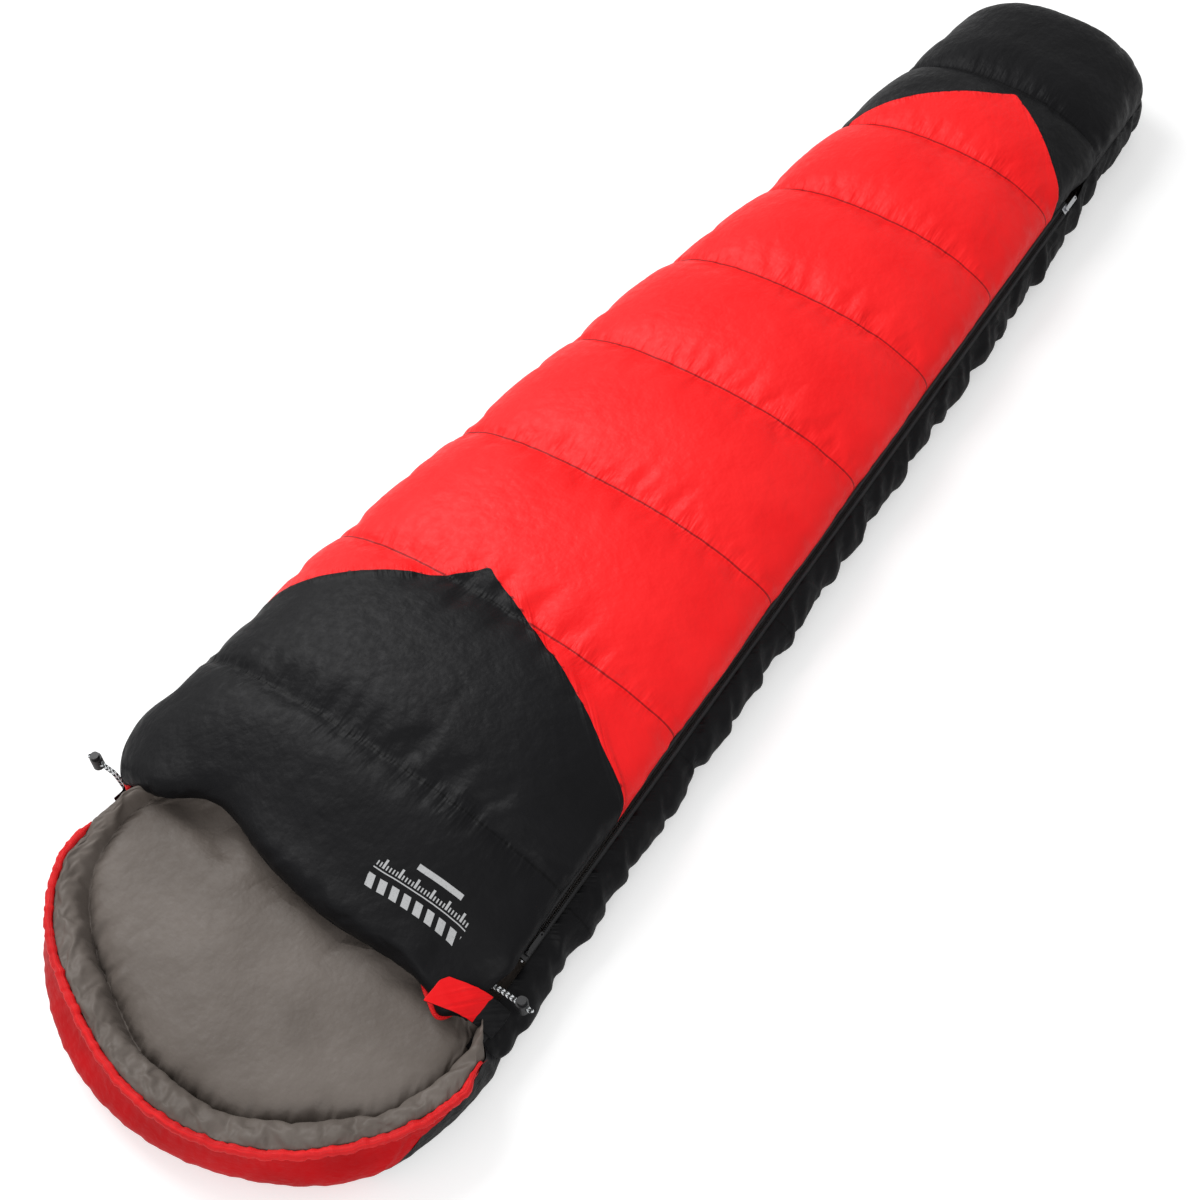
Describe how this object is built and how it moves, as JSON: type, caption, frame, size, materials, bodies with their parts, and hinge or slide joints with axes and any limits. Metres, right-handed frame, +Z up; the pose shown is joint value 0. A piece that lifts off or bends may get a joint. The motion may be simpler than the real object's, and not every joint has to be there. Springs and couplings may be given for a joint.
{
  "type": "mummy sleeping bag",
  "caption": "Quilted mummy sleeping bag laid out flat, with a full side zip, folding front corner, drawcord hood and boxed foot.",
  "frame": {"origin": "on the floor under the middle of the bag's length, on the line from hood to foot", "axes": "+Y from the hood to the foot, +X towards the zipped side, +Z up from the floor"},
  "size_m": [0.6734, 2.23, 0.1648],
  "materials": {
    "black_shell": "satin woven polyester",
    "red_shell": "satin woven polyester",
    "grey_lining": "soft woven polyester",
    "filling": "loose fibre wadding",
    "red_trim": "woven tape and piping",
    "zip_tape": "woven tape",
    "zip_coil": "satin",
    "slider_black": "semi-gloss",
    "slider_metal": "polished",
    "hook_and_loop": "hook-and-loop pile",
    "cord": "braided, black and white",
    "lock_plastic": "fine texture",
    "spring_steel": "bright"
  },
  "bodies": {
    "bag": {"top_shell_chest": "black_shell", "top_shell_torso": "red_shell", "top_shell_foot": "black_shell", "top_fill": "filling", "top_lining": "grey_lining", "bottom_shell": "black_shell", "bottom_fill": "filling", "bottom_lining": "grey_lining", "foot_end_shell": "black_shell", "foot_end_fill": "filling", "foot_end_lining": "grey_lining", "front_binding": "red_trim", "zip_tape_bottom": "zip_tape", "zip_tape_top": "zip_tape", "zip_coil_bottom": "zip_coil", "zip_coil_top": "zip_coil", "zip_end_stops": "slider_metal", "tab_loop_patch": "hook_and_loop", "drawcord_right": "cord", "drawcord_left": "cord", "hang_loop": "red_trim"},
    "hood": {"hood_shell": "black_shell", "hood_band": "red_shell", "hood_fill": "filling", "hood_lining": "grey_lining", "hood_channel": "red_trim", "hood_drawcord": "cord"},
    "flap": {"top_shell_chest_flap": "black_shell", "top_shell_torso_flap": "red_shell", "top_fill_flap": "filling", "top_lining_flap": "grey_lining", "front_binding_flap": "red_trim", "zip_tape_flap": "zip_tape", "zip_coil_flap": "zip_coil"},
    "tab": {"closure_tab": "red_trim", "tab_hook_patch": "hook_and_loop"},
    "upper_slider": {"upper_slider": "slider_black"},
    "upper_pull": {"upper_pull": "slider_black"},
    "lower_slider": {"lower_slider": "slider_metal"},
    "lower_pull": {"lower_pull": "slider_metal"},
    "right_lock": {"lock_barrel_right": "lock_plastic", "lock_spring_right": "spring_steel"},
    "right_button": {"lock_plunger_right": "lock_plastic"},
    "left_lock": {"lock_barrel_left": "lock_plastic", "lock_spring_left": "spring_steel"},
    "left_button": {"lock_plunger_left": "lock_plastic"}
  },
  "joints": [
    {"name": "hood_fold", "type": "hinge", "parent": "bag", "child": "hood", "pos_m": [0.04, -0.835, 0.11], "axis": [-1, 0, 0], "range_deg": [0, 70]},
    {"name": "flap_fold", "type": "hinge", "parent": "bag", "child": "flap", "pos_m": [-0.295, -0.795, 0.173], "axis": [-0.6397, -0.7687, 0], "range_deg": [0, 170]},
    {"name": "tab_lift", "type": "hinge", "parent": "flap", "child": "tab", "pos_m": [0.24603, -0.799, 0.10704], "axis": [0, -0.9972, -0.0748], "range_deg": [0, 140]},
    {"name": "upper_slider_travel", "type": "slide", "parent": "bag", "child": "upper_slider", "axis": [-0.0669, 0.9978, 0], "range_m": [0, 1.14]},
    {"name": "upper_pull_swing", "type": "hinge", "parent": "upper_slider", "child": "upper_pull", "pos_m": [0.29235, -0.70923, 0.07528], "axis": [0.6238, 0.0418, -0.7804], "range_deg": [0, 170]},
    {"name": "lower_slider_travel", "type": "slide", "parent": "bag", "child": "lower_slider", "axis": [0.0669, -0.9978, 0], "range_m": [0, 0.28]},
    {"name": "lower_pull_swing", "type": "hinge", "parent": "lower_slider", "child": "lower_pull", "pos_m": [0.1944, 0.75177, 0.07528], "axis": [0.6238, 0.0418, -0.7804], "range_deg": [0, 170]},
    {"name": "right_lock_travel", "type": "slide", "parent": "bag", "child": "right_lock", "axis": [-1, 0, 0], "range_m": [0, 0.02]},
    {"name": "right_button_press", "type": "slide", "parent": "right_lock", "child": "right_button", "axis": [0, 0, -1], "range_m": [0, 0.004], "stiffness_N_per_m": 300, "springref_m": -0.004, "deforming": ["lock_spring_right"]},
    {"name": "left_lock_travel", "type": "slide", "parent": "bag", "child": "left_lock", "axis": [1, 0, 0], "range_m": [0, 0.02]},
    {"name": "left_button_press", "type": "slide", "parent": "left_lock", "child": "left_button", "axis": [0, 0, -1], "range_m": [0, 0.004], "stiffness_N_per_m": 300, "springref_m": -0.004, "deforming": ["lock_spring_left"]}
  ]
}
